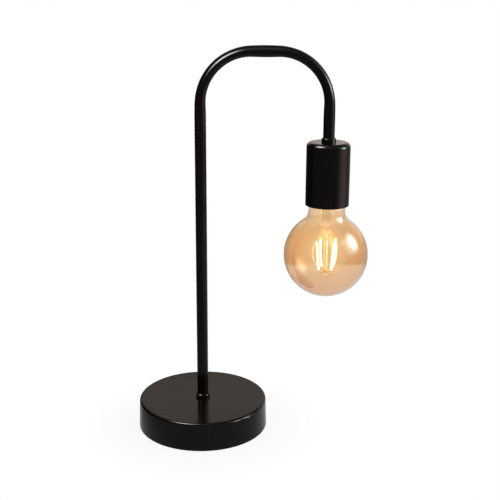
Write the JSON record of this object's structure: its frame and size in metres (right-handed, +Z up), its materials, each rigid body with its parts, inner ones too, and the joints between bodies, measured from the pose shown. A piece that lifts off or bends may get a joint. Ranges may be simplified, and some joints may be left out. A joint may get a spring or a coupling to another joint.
{
  "type": "table lamp",
  "caption": "Arched tube table lamp: a weighted drum base, one bent tube, and a downward cup that holds a bare amber globe bulb with glowing filament sticks.",
  "frame": {"origin": "centre of the base's flat underside, on the table", "axes": "+Z up; +X the way the arch reaches, from the post to the cup; +Y away from the viewer, towards the cable entry at the back of the base"},
  "size_m": [0.2218, 0.1281, 0.3719],
  "materials": {
    "black paint": "satin",
    "cast iron": "rough",
    "zinc steel": "plated",
    "foam rubber": "matt",
    "black rubber": "satin",
    "black plastic": "satin",
    "porcelain": "glazed",
    "brass": "bright",
    "amber glass": "clear, tinted",
    "clear glass": "clear",
    "bulb cap metal": "bright",
    "vitrite": "smooth",
    "circuit board": "satin",
    "support wire": "bright",
    "filament": "glowing"
  },
  "bodies": {
    "lamp": {"base_cover": "black paint", "base_weight": "cast iron", "base_plate": "zinc steel", "plate_screws": "zinc steel", "base_pad": "foam rubber", "cable_bush": "black rubber", "stem_tube": "black paint", "foot_collar": "black paint", "cup_collar": "black paint", "stem_washer": "zinc steel", "stem_nut": "zinc steel", "socket_cup": "black paint", "holder_cap": "black plastic", "grub_screw": "zinc steel", "holder_core": "porcelain", "holder_skirt": "black plastic", "screw_shell": "brass", "centre_contact": "brass", "shell_contact": "brass", "terminal_screws": "brass"},
    "bulb_tip": {"bulb_contact": "brass"},
    "bulb": {"bulb_glass": "amber glass", "bulb_cap": "bulb cap metal", "cap_insulator": "vitrite", "driver_board": "circuit board", "bulb_stem": "clear glass", "lead_wires": "support wire", "filament_1": "filament", "filament_2": "filament", "filament_3": "filament", "filament_4": "filament", "lower_support": "support wire"}
  },
  "joints": [
    {"name": "bulb_travel", "type": "slide", "parent": "lamp", "child": "bulb_tip", "axis": [0, 0, -1], "range_m": [0, 0.03]},
    {"name": "bulb_spin", "type": "hinge", "parent": "bulb_tip", "child": "bulb", "pos_m": [0.1185, 0, 0.2], "axis": [0, 0, -1], "range_deg": [0, 2970]}
  ],
  "couplings": [
    {"joint": "bulb_travel", "follows": "bulb_spin", "m_per_rad": 0.00057757}
  ]
}
